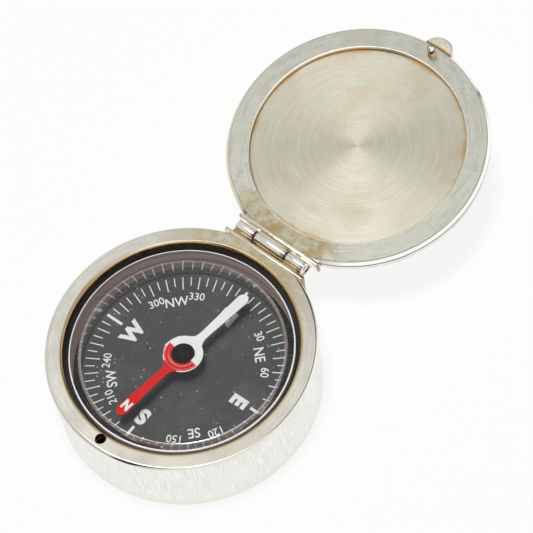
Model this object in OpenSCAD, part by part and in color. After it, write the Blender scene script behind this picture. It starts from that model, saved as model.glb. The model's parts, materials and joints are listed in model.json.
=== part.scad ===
// Pocket compass with a hinged lid, shown with its lid laid open.
// A silver tube, bezel and base make the case. It holds a clear, liquid-filled capsule with a
// printed dial and a pivoted needle. The lid turns on a three-knuckle hinge and shuts with a
// ball-ended pin that snaps into a sprung socket under the hole in the bezel.
// Millimetres, +Z up, origin at the middle of the underside, hinge towards +Y, dial north
// towards +Y and dial east towards +X.

/* [Case] */
// Outer diameter of the case over its bezel
case_d = 38; // [36:0.5:44]
// Height of the case from the underside to the bezel's face
case_h = 11.5; // [11:0.1:14]
// Wall of the case's side tube
side_wall_t = 1.5; // [1.35:0.05:1.8]
// How far the side tube stands in from the bezel
side_step = 0.15; // [0.05:0.05:0.3]
// Rounding of the lower edge of the side tube
side_foot_r = 0.4; // [0.2:0.1:0.8]
// Thickness of the base plate
base_t = 1; // [0.8:0.1:1.4]
// Width of the bezel's flat ring, from its outer edge to the well
bezel_w = 2.5; // [2.4:0.05:2.8]
// Height of the bezel above its seam
bezel_h = 1.2; // [1:0.1:1.6]
// Rounding of the bezel's outer edge
bezel_edge_r = 0.5; // [0.2:0.1:0.7]
// Chamfer on the bezel's inner edge
bezel_lip = 0.12; // [0.05:0.01:0.14]
// How far the bezel's spigot reaches down into the side tube
spigot_h = 1; // [0.6:0.1:1.4]

/* [Capsule] */
// Gap between the bezel and the capsule's wall
capsule_gap = 0.75; // [0.6:0.05:1]
// How far the window's face lies below the bezel's face
window_drop = 0.9; // [0.6:0.1:1.2]
// Thickness of the window's face
window_t = 1.2; // [0.9:0.1:1.5]
// Wall of the capsule's clear side
window_wall_t = 1.15; // [0.9:0.05:1.4]
// Rounding of the window's upper edge
window_edge_r = 0.4; // [0.2:0.1:0.6]
// Thickness of the flange at the foot of the window
window_foot_t = 0.8; // [0.6:0.1:1]
// Thickness of the capsule's base
capsule_base_t = 1.2; // [1.1:0.1:1.6]
// Thickness of the gasket between the window and the base
gasket_t = 0.25; // [0.15:0.05:0.4]
// Thickness of the packing disc under the capsule
packing_t = 0.6; // [0.4:0.1:1]
// Thickness of the dial plate
dial_t = 0.4; // [0.3:0.1:0.6]
// Diameter of the filler plug in the capsule's base
filler_d = 1.6; // [1.2:0.1:2.4]

/* [Needle] */
// Gap from the needle's tips to the capsule's wall
needle_end_gap = 2.1; // [1.5:0.1:3.5]
// Width of the needle's arms
needle_w = 1.2; // [0.9:0.1:1.5]
// Width of the needle's arms at their outer ends
needle_end_w = 1.65; // [1.3:0.05:2]
// Thickness of the needle
needle_t = 0.25; // [0.2:0.05:0.4]
// Diameter of the ring round the needle's middle
needle_ring_d = 5.6; // [5.4:0.1:6.4]
// Diameter of the needle's black cap
needle_cap_d = 3.3; // [3:0.1:3.6]
// Gap from the needle's upper face to the underside of the window
needle_drop = 1.45; // [1.35:0.05:1.7]
// Turn of the needle's white end from dial north, clockwise from above
needle_turn = 6; // [0:0.5:359.5]
// Diameter of the pivot post
post_d = 0.6; // [0.5:0.05:0.8]

/* [Hinge] */
// How far the hinge line lies outside the case
hinge_out = 0.75; // [0.7:0.05:0.9]
// Distance from the hinge line back to the seat of each leaf
leaf_standoff = 1.8; // [1.7:0.05:1.9]
// How far the hinge line lies below the bezel's face
hinge_drop = 0.35; // [0.25:0.05:0.45]
// Diameter of the hinge barrel
barrel_d = 1.56; // [1.4:0.02:1.64]
// Diameter of the hinge pin
hinge_pin_d = 0.7; // [0.5:0.05:0.8]
// Length of the hinge barrel
barrel_l = 12; // [11:0.1:13]
// Length of the middle knuckle, which the lid carries
mid_knuckle_l = 5.3; // [4.5:0.1:6]
// Gap between knuckles
knuckle_gap = 0.3; // [0.15:0.05:0.4]
// Length of each hinge leaf along the hinge line
leaf_l = 14; // [13.2:0.1:15]
// Thickness of each hinge leaf
leaf_t = 0.5; // [0.4:0.05:0.55]
// How far the case's leaf reaches down the side
leaf_h = 4; // [3:0.1:5]
// Angle through which the lid opens from shut
lid_open = 173; // [160:1:175]

/* [Lid] */
// Depth of the recess inside the lid
recess_h = 0.7; // [0.6:0.1:0.9]
// Width of the flat ring inside the lid
lid_ring_w = 3; // [2.9:0.05:3.3]
// Thickness of the spun plate in the recess
lid_plate_t = 0.3; // [0.2:0.05:0.4]
// Thickness of the lid's back
lid_back_t = 1.2; // [0.9:0.1:1.4]
// Width of the polished bevel round the lid's inner face
lid_bevel = 0.38; // [0.3:0.02:0.46]
// Rounding of the edge of the lid's back
lid_edge_r = 0.7; // [0.3:0.1:0.9]
// Gap between the shut lid and the bezel
lid_gap = 0.05; // [0.03:0.01:0.08]
// Radius of the thumb tab
tab_r = 2.4; // [2.2:0.1:2.8]
// How far the thumb tab stands out from the lid
tab_out = 1.8; // [1.5:0.1:2]
// Thickness of the thumb tab
tab_t = 1.3; // [1:0.1:1.6]

/* [Catch] */
// Distance from the bezel's inner edge to the middle of the catch hole
catch_inset = 0.9; // [0.88:0.01:1]
// Sideways offset of the catch from the middle line
catch_x = 0.4; // [0:0.1:0.6]
// Diameter of the catch hole in the bezel
catch_hole_d = 1.5; // [1.4:0.02:1.56]
// Diameter of the ball on the catch pin
catch_ball_d = 1.1; // [0.9:0.02:1.14]
// Diameter of the catch pin's shank
catch_shank_d = 0.64; // [0.5:0.02:0.7]
// Reach of the catch pin from the lid's face to the middle of the ball
catch_reach = 1.75; // [1.75:0.05:2.1]
// Diameter of the collar at the root of the catch pin
collar_d = 1.36; // [1.1:0.02:1.38]
// Height of the collar
collar_h = 0.8; // [0.5:0.05:0.9]

/* [Hidden] */
$fn = 96;

// One overrun for every cut, and the clearances of the fits
overrun = 0.5;
press_gap = 0.02;
slip_gap = 0.1;
pin_gap = 0.03;

// Case
case_r = case_d / 2;
side_r = case_r - side_step;
side_in_r = side_r - side_wall_t;
well_r = case_r - bezel_w;
seam_z = case_h - bezel_h;
spigot_z = seam_z - spigot_h;
spigot_in_r = well_r + press_gap;
seam_round = 0.1;
hinge_y = case_r + hinge_out;
leaf_y = hinge_y - leaf_standoff;
flat_half_l = leaf_l / 2 + press_gap;

// Capsule
capsule_r = well_r - capsule_gap;
capsule_in_r = capsule_r - window_wall_t;
flange_reach = 0.65;
flange_r = capsule_r + flange_reach;
capsule_z = base_t + packing_t;
base_flange_t = 0.6;
gasket_z = capsule_z + base_flange_t;
foot_z = gasket_z + gasket_t;
sleeve_z = foot_z + window_foot_t;
dial_z = capsule_z + capsule_base_t;
dial_top_z = dial_z + dial_t;
window_z = case_h - window_drop;
window_under_z = window_z - window_t;
plug_r = capsule_in_r - slip_gap;
dial_r = plug_r;
// The ring moulded under the window keeps the needle on its post
boss_in_r = 1.95;
boss_w = 0.7;
boss_lift_gap = 0.3;
boss_h = needle_drop - boss_lift_gap;
filler_x_share = 0.6;
filler_x = -plug_r * filler_x_share;
filler_h = capsule_base_t - slip_gap;

// Pivot
bush_foot_r = 1.2;
bush_neck_r = 0.75;
bush_rise = 0.9;
bush_foot_t = 0.8;
bush_z = dial_z - bush_foot_t;
bush_top_z = dial_top_z + bush_rise;
post_tip_l = 0.8;
post_tip_r = 0.03;

// Needle
needle_l = 2 * (capsule_in_r - needle_end_gap);
needle_top_z = window_under_z - needle_drop;
needle_z = needle_top_z - needle_t;
needle_hole_r = 1.2;
needle_point_l = 0.8;
needle_root_l = 0.9;
needle_root_share = 1.9;
needle_tip_share = 0.45;
cap_rise = 0.75;
cap_crown_r = 2.3;
cap_skirt = 0.35;
cap_z = needle_z - cap_skirt;
jewel_r = 0.7;
jewel_h = 0.6;
jewel_z = needle_z;
jewel_cup_r = 0.4;
jewel_cup_h = 0.4;
tip_gap = 0.03;
post_top_z = jewel_z + jewel_cup_h - tip_gap;

// Hinge
hinge_z = case_h - hinge_drop;
barrel_r = barrel_d / 2;
knuckle_bore_r = hinge_pin_d / 2 + pin_gap;
knuckle_x = mid_knuckle_l / 2 + knuckle_gap;
outer_knuckle_l = barrel_l / 2 - knuckle_x;
web_gap = 0.15;
web_rise = 0.2;
mid_web_half_t = 0.4;
saddle_drop = 0.5;
saddle_t = 0.6;
saddle_gap = 0.12;
heel_t = 0.35;
heel_drop = 1.45;
heel_gap = 0.08;

// Lid, worked out shut and then swung open
lid_z = case_h + lid_gap;
lid_plate_z = lid_z + recess_h;
lid_floor_z = lid_plate_z + lid_plate_t;
lid_top_z = lid_floor_z + lid_back_t;
lid_lip_t = 0.38;
lid_ring_out_r = case_r - lid_lip_t - press_gap;
lid_ring_in_r = case_r - lid_lip_t - lid_ring_w;
bevel_drop = 0.1;
tab_z = lid_z + lid_bevel;
tab_edge_r = 0.3;
tab_y = -(case_r + tab_out - tab_r);

// Catch
catch_r = well_r + catch_inset;
catch_y = -sqrt(catch_r * catch_r - catch_x * catch_x);
catch_hole_r = catch_hole_d / 2;
socket_wall_t = 0.22;
socket_bore_r = catch_hole_r;
socket_r = socket_bore_r + socket_wall_t;
socket_floor_t = 0.4;
socket_depth = 2.7;
socket_z = seam_z - socket_depth;
spring_gap = 0.07;
spring_in_r = catch_ball_d / 2 + spring_gap;
spring_out_r = socket_bore_r - press_gap;
spring_slot = 0.4;
spring_h = 0.9;
catch_ball_z = lid_z - catch_reach;
spring_z = catch_ball_z - spring_h / 2;
catch_root = 0.8;
collar_top_r = catch_shank_d / 2 + pin_gap + press_gap;

// Helpers

// Outline of a turned ring, with its outer upper and lower corners rounded
module ring_outline(r_in, r_out, z_low, z_high, top_round = 0, low_round = 0) {
    difference() {
        translate([r_in, z_low]) square([r_out - r_in, z_high - z_low]);
        if (top_round > 0) translate([r_out - top_round, z_high - top_round]) round_off(top_round);
        if (low_round > 0) translate([r_out - low_round, z_low + low_round]) mirror([0, 1])
            round_off(low_round);
    }
}

// What a round takes off a square corner
module round_off(r) {
    difference() {
        square(r + overrun);
        circle(r);
    }
}

// Turned ring or disc
module turned(r_in, r_out, z_low, z_high, top_round = 0, low_round = 0) {
    rotate_extrude() ring_outline(r_in, r_out, z_low, z_high, top_round, low_round);
}

// Straight bore or rod between two heights
module rod(r, z_low, z_high) {
    translate([0, 0, z_low]) cylinder(r = r, h = z_high - z_low);
}

// Cylinder along the hinge line, from one place on it to another
module hinge_rod(r, x_low, x_high) {
    translate([x_low, hinge_y, hinge_z]) rotate([0, 90, 0]) cylinder(r = r, h = x_high - x_low);
}

// Block given by its low and high corners
module block(low, high) {
    translate(low) cube(high - low);
}

// What the flat seat of a hinge leaf takes off a round part, between two heights
module leaf_seat(z_low, z_high) {
    block([-flat_half_l, leaf_y, z_low], [flat_half_l, case_r + overrun, z_high]);
}

// Swings a part of the shut lid open round the hinge line
module swung_open() {
    translate([0, hinge_y, hinge_z]) rotate([-lid_open, 0, 0]) translate([0, -hinge_y, -hinge_z])
        children();
}

// Carries a part to the catch
module at_catch() {
    translate([catch_x, catch_y, 0]) children();
}

// Case

module case_side() {
    color("#c9c8c0") difference() {
        turned(side_in_r, side_r, 0, seam_z, 0, side_foot_r);
        leaf_seat(case_h - leaf_h, case_h);
        at_catch() rod(socket_r + press_gap, socket_z, case_h);
    }
}

module base_plate() {
    color("#c2c1b9") rod(side_in_r - press_gap, 0, base_t);
}

module bezel_ring() {
    color("#dcdbd3") difference() {
        union() {
            rotate_extrude() difference() {
                ring_outline(well_r, case_r, seam_z, case_h, bezel_edge_r, seam_round);
                polygon([
                    [well_r - overrun, case_h - bezel_lip - overrun],
                    [well_r + bezel_lip + overrun, case_h + overrun],
                    [well_r - overrun, case_h + overrun]
                ]);
            }
            turned(spigot_in_r, side_in_r - press_gap, spigot_z, seam_z);
        }
        leaf_seat(seam_z - overrun, case_h + overrun);
        at_catch() rod(catch_hole_r, spigot_z, case_h + overrun);
        at_catch() rod(socket_r + press_gap, spigot_z - overrun, seam_z);
    }
}

module packing_disc() {
    color("#8a6a45") rod(flange_r, base_t, capsule_z);
}

module capsule_sleeve() {
    color("#1d1d1f") difference() {
        turned(capsule_r + press_gap, side_in_r - press_gap, sleeve_z, spigot_z);
        at_catch() rod(socket_r + press_gap, socket_z, case_h);
    }
}

// Capsule

module capsule_base() {
    color("#2b2b2d") difference() {
        union() {
            rod(flange_r, capsule_z, gasket_z);
            rod(plug_r, capsule_z, dial_z);
        }
        rod(bush_foot_r, bush_z, dial_z + overrun);
        translate([filler_x, 0, 0]) rod(filler_d / 2, capsule_z - overrun, dial_z + overrun);
    }
}

module capsule_gasket() {
    color("#3a3330") turned(plug_r + press_gap, flange_r, gasket_z, foot_z);
}

module capsule_window() {
    color("#bfc6c8", 0.4) union() {
        difference() {
            union() {
                turned(0, capsule_r, foot_z, window_z, window_edge_r);
                rod(flange_r, foot_z, sleeve_z);
            }
            rod(capsule_in_r, foot_z - overrun, window_under_z);
        }
        turned(boss_in_r, boss_in_r + boss_w, window_under_z - boss_h, window_z - window_t / 2);
    }
}

module dial_plate() {
    color("#4b4b4a") turned(bush_neck_r + press_gap, dial_r, dial_z, dial_top_z);
}

module filler_plug() {
    color("#b9bcbf") translate([filler_x, 0, 0])
        rod(filler_d / 2 - press_gap, capsule_z, capsule_z + filler_h);
}

// Pivot

module pivot_bush() {
    color("#c8a24a") difference() {
        union() {
            rod(bush_foot_r - press_gap, bush_z, dial_z);
            rod(bush_neck_r, dial_z, bush_top_z);
        }
        rod(post_d / 2 + press_gap, bush_z - overrun, bush_top_z + overrun);
    }
}

module pivot_post() {
    color("#a9adb2") union() {
        rod(post_d / 2, bush_z, post_top_z - post_tip_l);
        translate([0, 0, post_top_z - post_tip_l])
            cylinder(r1 = post_d / 2, r2 = post_tip_r, h = post_tip_l);
    }
}

// Catch socket, under the bezel's hole

module catch_socket() {
    color("#b7b5ab") at_catch() difference() {
        rod(socket_r, socket_z, seam_z);
        rod(socket_bore_r, socket_z + socket_floor_t, seam_z + overrun);
    }
}

module catch_spring() {
    color("#c8a24a") at_catch() difference() {
        turned(spring_in_r, spring_out_r, spring_z, spring_z + spring_h);
        block([0, -spring_slot / 2, spring_z - overrun],
            [spring_out_r + overrun, spring_slot / 2, spring_z + spring_h + overrun]);
    }
}

// Hinge

module case_hinge_leaf() {
    color("#d5d3c8") difference() {
        union() {
            block([-leaf_l / 2, leaf_y, case_h - leaf_h], [leaf_l / 2, leaf_y + leaf_t, case_h]);
            knuckle_saddle();
            for (side = [-1, 1]) {
                mid_x = side * (knuckle_x + outer_knuckle_l / 2);
                x_low = mid_x - outer_knuckle_l / 2;
                x_high = mid_x + outer_knuckle_l / 2;
                hinge_rod(barrel_r, x_low, x_high);
                block([x_low, leaf_y, hinge_z - barrel_r], [x_high, hinge_y, hinge_z + web_rise]);
                stop_heel(x_low, x_high);
            }
        }
        hinge_rod(knuckle_bore_r, -leaf_l, leaf_l);
    }
}

// Saddle between the outer knuckles, hollowed to clear the middle knuckle
module knuckle_saddle() {
    saddle_z = hinge_z - saddle_drop;
    half_l = knuckle_x + outer_knuckle_l / 2;
    difference() {
        block([-half_l, leaf_y, saddle_z - saddle_t], [half_l, hinge_y - saddle_gap, saddle_z]);
        hinge_rod(barrel_r + saddle_gap, -leaf_l, leaf_l);
    }
}

// Heel under an outer knuckle, on which the leaf of the open lid comes to rest
module stop_heel(x_low, x_high) {
    block([x_low, leaf_y, hinge_z - heel_drop - heel_t],
        [x_high, hinge_y + heel_reach(), hinge_z - heel_drop]);
    block([x_low, leaf_y, hinge_z - heel_drop - heel_t], [x_high, hinge_y, hinge_z]);
}

// How far the heel reaches past the hinge line, up to the face of the open lid's leaf
function heel_reach() = let (lean = 180 - lid_open, face = leaf_standoff - leaf_t)
    face / cos(lean) + heel_drop * tan(lean) - heel_gap;

module hinge_pin() {
    color("#b9bcbf") hinge_rod(hinge_pin_d / 2, -barrel_l / 2, barrel_l / 2);
}

module lid_hinge_leaf() {
    color("#d5d3c8") swung_open() difference() {
        union() {
            block([-leaf_l / 2, leaf_y, lid_z], [leaf_l / 2, leaf_y + leaf_t, lid_top_z]);
            hinge_rod(barrel_r, -mid_knuckle_l / 2, mid_knuckle_l / 2);
            block([-mid_knuckle_l / 2, leaf_y + leaf_t / 2, lid_z],
                [mid_knuckle_l / 2, hinge_y, hinge_z + barrel_r]);
            block([-mid_knuckle_l / 2, leaf_y + leaf_t + web_gap, hinge_z - mid_web_half_t],
                [mid_knuckle_l / 2, hinge_y, hinge_z + barrel_r]);
        }
        hinge_rod(knuckle_bore_r, -leaf_l, leaf_l);
    }
}

// Needle

// One arm of the needle, widening to its outer end and pointed like a pencil
module needle_arm() {
    half_l = needle_l / 2;
    ring_r = needle_ring_d / 2;
    half_widths = [
        [needle_w * needle_root_share / 2, needle_hole_r + press_gap],
        [needle_w * needle_root_share / 2, ring_r - press_gap],
        [needle_w / 2, ring_r + needle_root_l],
        [needle_end_w / 2, half_l - needle_point_l],
        [needle_end_w * needle_tip_share / 2, half_l]
    ];
    last = len(half_widths) - 1;
    polygon([
        for (point = half_widths) [-point.x, point.y],
        for (place = [last:-1:0]) half_widths[place]
    ]);
}

module needle_blade() {
    color("#d42a22") rotate([0, 0, -needle_turn]) difference() {
        union() {
            rod(needle_ring_d / 2, needle_z, needle_top_z);
            for (turn = [0, 180]) rotate([0, 0, turn]) translate([0, 0, needle_z])
                linear_extrude(needle_t) needle_arm();
        }
        rod(needle_hole_r, needle_z - overrun, needle_top_z + overrun);
    }
}

module needle_cap() {
    color("#0c0c0d") difference() {
        union() {
            rod(needle_hole_r - press_gap, cap_z, needle_top_z);
            intersection() {
                rod(needle_cap_d / 2, needle_top_z, needle_top_z + cap_rise);
                translate([0, 0, needle_top_z + cap_rise - cap_crown_r]) sphere(cap_crown_r);
            }
        }
        rod(jewel_r + press_gap, cap_z - overrun, jewel_z + jewel_h);
    }
}

module pivot_jewel() {
    color("#b0202c") difference() {
        rod(jewel_r, jewel_z, jewel_z + jewel_h);
        translate([0, 0, jewel_z - overrun * jewel_cup_h / jewel_cup_r])
            cylinder(r1 = jewel_cup_r + overrun, r2 = 0,
                h = jewel_cup_h + overrun * jewel_cup_h / jewel_cup_r);
    }
}

// Lid

module lid_shell() {
    color("#d8d7cf") swung_open() difference() {
        rotate_extrude() difference() {
            ring_outline(0, case_r, lid_z + bevel_drop, lid_top_z, lid_edge_r);
            translate([-overrun, lid_z - overrun])
                square([case_r - lid_lip_t + overrun, lid_floor_z - lid_z + overrun]);
            polygon([
                [case_r - lid_bevel, lid_z + bevel_drop],
                [case_r + overrun, lid_z + bevel_drop + lid_bevel + overrun],
                [case_r + overrun, lid_z]
            ]);
        }
        leaf_seat(lid_z - overrun, lid_top_z + overrun);
    }
}

module lid_ring() {
    color("#c6c7bb") swung_open() difference() {
        turned(lid_ring_in_r, lid_ring_out_r, lid_z, lid_floor_z);
        leaf_seat(lid_z - overrun, lid_top_z + overrun);
        at_catch() rod(catch_shank_d / 2 + press_gap, lid_z - overrun, lid_z + catch_root);
    }
}

module lid_inner_plate() {
    color("#cfc8b6") swung_open() rod(lid_ring_in_r - press_gap, lid_plate_z, lid_floor_z);
}

module thumb_tab() {
    color("#d8d7cf") swung_open() difference() {
        translate([catch_x, tab_y, 0])
            turned(0, tab_r, tab_z, tab_z + tab_t, tab_edge_r, tab_edge_r);
        rod(case_r + press_gap, lid_z - overrun, lid_top_z + overrun);
    }
}

module catch_pin() {
    color("#cfd0cf") swung_open() at_catch() union() {
        rod(catch_shank_d / 2, catch_ball_z, lid_z + catch_root);
        translate([0, 0, catch_ball_z]) sphere(d = catch_ball_d);
    }
}

module catch_collar() {
    color("#c39a5b") swung_open() at_catch() difference() {
        translate([0, 0, lid_z - collar_h])
            cylinder(r1 = collar_top_r + press_gap, r2 = collar_d / 2, h = collar_h);
        rod(catch_shank_d / 2 + press_gap, lid_z - collar_h - overrun, lid_z + overrun);
    }
}

case_side();
base_plate();
bezel_ring();
packing_disc();
capsule_sleeve();
capsule_base();
capsule_gasket();
capsule_window();
dial_plate();
filler_plug();
pivot_bush();
pivot_post();
catch_socket();
catch_spring();
case_hinge_leaf();
hinge_pin();
needle_blade();
needle_cap();
pivot_jewel();
lid_shell();
lid_ring();
lid_inner_plate();
lid_hinge_leaf();
thumb_tab();
catch_pin();
catch_collar();
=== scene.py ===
# Silver pocket compass with a hinged lid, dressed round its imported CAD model.
import json
import math

import bpy
from mathutils import Matrix, Vector

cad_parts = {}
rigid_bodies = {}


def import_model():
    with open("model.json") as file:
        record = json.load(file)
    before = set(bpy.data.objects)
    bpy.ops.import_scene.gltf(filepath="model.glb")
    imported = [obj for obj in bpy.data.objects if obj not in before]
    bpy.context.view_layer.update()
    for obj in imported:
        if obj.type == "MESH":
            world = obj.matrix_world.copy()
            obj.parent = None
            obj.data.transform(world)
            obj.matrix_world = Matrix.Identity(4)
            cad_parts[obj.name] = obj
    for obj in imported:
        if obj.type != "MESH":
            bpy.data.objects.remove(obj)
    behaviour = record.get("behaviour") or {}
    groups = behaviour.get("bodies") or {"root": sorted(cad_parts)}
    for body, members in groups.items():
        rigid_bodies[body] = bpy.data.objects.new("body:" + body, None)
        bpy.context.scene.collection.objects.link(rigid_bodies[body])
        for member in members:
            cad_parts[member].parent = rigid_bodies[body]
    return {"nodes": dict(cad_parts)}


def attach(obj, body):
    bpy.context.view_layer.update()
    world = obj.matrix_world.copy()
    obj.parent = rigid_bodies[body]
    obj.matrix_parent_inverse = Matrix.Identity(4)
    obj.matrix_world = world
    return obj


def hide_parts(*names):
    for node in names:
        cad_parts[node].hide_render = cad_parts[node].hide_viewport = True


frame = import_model()
for left_over in [o for o in bpy.data.objects if o.type in {"LIGHT", "CAMERA"} or o.name == "Cube"]:
    bpy.data.objects.remove(left_over)
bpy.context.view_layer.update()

# Camera. It stands where the photograph was taken from, as fitted to the circles of the case,
# dial and lid: a long lens, high over the near right side, and tilted a little.
MM = 0.001
CAMERA_AZIMUTH = math.radians(47.81)
CAMERA_ELEVATION = math.radians(59.43)
CAMERA_ROLL = math.radians(-10.04)
CAMERA_DISTANCE = 334.6 * MM
CAMERA_TARGET = Vector((1.668, 16.672, 11.5)) * MM
FOCAL_SHARE = 2400 / 533

flat_out = math.cos(CAMERA_ELEVATION)
camera_back = Vector((
    math.sin(CAMERA_AZIMUTH) * flat_out,
    -math.cos(CAMERA_AZIMUTH) * flat_out,
    math.sin(CAMERA_ELEVATION),
))
level_right = Vector((math.cos(CAMERA_AZIMUTH), math.sin(CAMERA_AZIMUTH), 0))
level_up = camera_back.cross(level_right)
camera_right = math.cos(CAMERA_ROLL) * level_right + math.sin(CAMERA_ROLL) * level_up
camera_up = camera_back.cross(camera_right)
camera_data = bpy.data.cameras.new("photo_camera")
camera_data.lens = FOCAL_SHARE * camera_data.sensor_width
camera_data.clip_start = 10 * MM
camera = bpy.data.objects.new("photo_camera", camera_data)
bpy.context.scene.collection.objects.link(camera)
camera.matrix_world = Matrix((camera_right, camera_up, camera_back)).transposed().to_4x4()
camera.location = CAMERA_TARGET + camera_back * CAMERA_DISTANCE
bpy.context.scene.camera = camera
bpy.context.scene.view_settings.view_transform = "Standard"


def linear(code):
    """An sRGB hex colour as the linear RGBA that Blender's sockets take."""
    shares = [int(code[i:i + 2], 16) / 255 for i in (1, 3, 5)]
    return [s / 12.92 if s <= 0.04045 else ((s + 0.055) / 1.055) ** 2.4 for s in shares] + [1.0]


def add_node(tree, kind, settings=None, links=None):
    """Adds one node. Small-letter keys set its options, the others its sockets by name or number."""
    node = tree.nodes.new(kind)
    for key, value in (settings or {}).items():
        if isinstance(key, str) and key[0].islower():
            setattr(node, key, value)
        else:
            node.inputs[key].default_value = value
    for key, source in (links or {}).items():
        tree.links.new(source, node.inputs[key])
    return node


def new_material(name, settings=None):
    """A material, its tree, its one Principled shader with plain settings, and places on the piece."""
    finish = bpy.data.materials.new(name)
    finish.use_nodes = True
    tree = finish.node_tree
    tree.nodes.clear()
    shader = add_node(tree, "ShaderNodeBsdfPrincipled", settings)
    add_node(tree, "ShaderNodeOutputMaterial", links={"Surface": shader.outputs[0]})
    return finish, tree, shader, add_node(tree, "ShaderNodeTexCoord").outputs["Object"]


# Studio. A wide white paper floor, an even white surround and a soft box overhead. Metal mirrors
# a white panel instead of that box, and a surround that is white above and on the right, grey low
# on the left and dark in a gap between them, which draws the dark line along polished edges.
FLOOR_SIZE = 6.0
FLOOR_WHITE = "#f4f4f2"
FLOOR_GLOW_SHARE = 0.86
WHITE = "#ffffff"
SKY_LIGHT_STRENGTH = 0.25
HORIZON_GREY = "#40403e"
HIGH_SKY_WHITE = "#d4d4d1"
LOW_SKY_SHARES = (0.02, 0.22)
LIGHT_HORIZON_SHARES = (-0.3, -0.05)
WHITE_RIGHT_SHARES = (0.1, 0.4)
GAP_LEFT_SHARES = (-0.22, -0.14)
GAP_RIGHT_SHARES = (0.12, 0.04)
GAP_GREY = "#3a3a38"
KEY_FROM = Vector((-0.02, -0.04, 1.0))
KEY_DISTANCE = 0.9
KEY_SIZE = 0.18
KEY_WATTS = 5.6
TOP_PANEL_FROM = Vector((-0.17, -0.04, 0.98))
TOP_PANEL_DISTANCE = 0.8
TOP_PANEL_SIZE = 0.4
TOP_PANEL_WATTS = 0.85


def seen_by(tree, *rays):
    """What the Light Path node tells of a ray: the largest of the named outputs."""
    path = add_node(tree, "ShaderNodeLightPath")
    share = path.outputs[rays[0]]
    for ray in rays[1:]:
        share = add_node(
            tree, "ShaderNodeMath", {"operation": "MAXIMUM"}, {0: share, 1: path.outputs[ray]}
        ).outputs[0]
    return share


def ramp(tree, value, start, end, low=0.0, high=1.0):
    """Carries a measure smoothly from one pair of ends to another."""
    share = add_node(
        tree, "ShaderNodeMapRange",
        {"interpolation_type": "SMOOTHSTEP", "From Min": start, "From Max": end,
         "To Min": low, "To Max": high},
        {"Value": value},
    )
    return share.outputs[0]


def overlap(tree, *spans):
    """Where measures all lie past their ends: the product of one ramp for each."""
    share = ramp(tree, *spans[0])
    for span in spans[1:]:
        share = add_node(
            tree, "ShaderNodeMath", {"operation": "MULTIPLY"}, {0: share, 1: ramp(tree, *span)}
        ).outputs[0]
    return share


def blend_colour(tree, share, first, second):
    """Mixes two colours, each a hex code or the output of an earlier mix."""
    fixed = {6: first, 7: second}
    mix = add_node(
        tree, "ShaderNodeMix",
        {"data_type": "RGBA", **{k: linear(v) for k, v in fixed.items() if isinstance(v, str)}},
        {0: share, **{k: v for k, v in fixed.items() if not isinstance(v, str)}},
    )
    return mix.outputs[2]


def shaded(tree, first, second, measure, start, end):
    """Goes from one colour to another as a measure goes from its start to its end."""
    return blend_colour(tree, ramp(tree, measure, start, end), first, second)


bpy.ops.object.select_all(action="DESELECT")
bpy.ops.mesh.primitive_grid_add(x_subdivisions=8, y_subdivisions=8, size=FLOOR_SIZE)
floor = bpy.context.object
floor.name = "paper_floor"
paper, tree, shader, place = new_material(
    "white_paper_floor", {"Base Color": linear(FLOOR_WHITE), "Roughness": 0.9, "Specular IOR Level": 0.1}
)
seen = seen_by(tree, "Is Camera Ray", "Is Glossy Ray", "Is Transmission Ray")
glow_share = add_node(tree, "ShaderNodeMath", {"operation": "MULTIPLY", 1: FLOOR_GLOW_SHARE}, {0: seen})
white_glow = add_node(tree, "ShaderNodeEmission", {"Color": linear(WHITE), "Strength": 1.0})
floor_mix = add_node(
    tree, "ShaderNodeMixShader",
    links={0: glow_share.outputs[0], 1: shader.outputs[0], 2: white_glow.outputs[0]},
)
tree.links.new(floor_mix.outputs[0], tree.nodes["Material Output"].inputs["Surface"])
floor.data.materials.append(paper)

surround = bpy.data.worlds.new("white_surround")
surround.use_nodes = True
bpy.context.scene.world = surround
tree = surround.node_tree
tree.nodes.clear()
place = add_node(tree, "ShaderNodeTexCoord").outputs["Generated"]
sky_way = add_node(tree, "ShaderNodeSeparateXYZ", links={0: place})
rightward, upward = sky_way.outputs["X"], sky_way.outputs["Z"]
horizon_share = ramp(tree, rightward, *LIGHT_HORIZON_SHARES)
horizon_tone = blend_colour(tree, horizon_share, HORIZON_GREY, HIGH_SKY_WHITE)
height_tone = shaded(tree, horizon_tone, HIGH_SKY_WHITE, upward, *LOW_SKY_SHARES)
white_tone = shaded(tree, height_tone, WHITE, rightward, *WHITE_RIGHT_SHARES)
gap_share = overlap(tree, (rightward, *GAP_LEFT_SHARES), (rightward, *GAP_RIGHT_SHARES))
sky_tone = blend_colour(tree, gap_share, white_tone, GAP_GREY)
sky_mirrored = add_node(tree, "ShaderNodeBackground", {"Strength": 1.0}, {"Color": sky_tone})
sky_light, sky_seen = (
    add_node(tree, "ShaderNodeBackground", {"Color": linear(WHITE), "Strength": strength})
    for strength in (SKY_LIGHT_STRENGTH, 1.0)
)
mirrored_first = add_node(
    tree, "ShaderNodeMath", {"operation": "SUBTRACT", "use_clamp": True},
    {0: seen_by(tree, "Is Glossy Ray", "Is Transmission Ray"), 1: seen_by(tree, "Diffuse Depth")},
)
unseen_mix = add_node(
    tree, "ShaderNodeMixShader",
    links={0: mirrored_first.outputs[0], 1: sky_light.outputs[0], 2: sky_mirrored.outputs[0]},
)
sky_mix = add_node(
    tree, "ShaderNodeMixShader",
    links={0: seen_by(tree, "Is Camera Ray"), 1: unseen_mix.outputs[0], 2: sky_seen.outputs[0]},
)
add_node(tree, "ShaderNodeOutputWorld", links={"Surface": sky_mix.outputs[0]})


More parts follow.
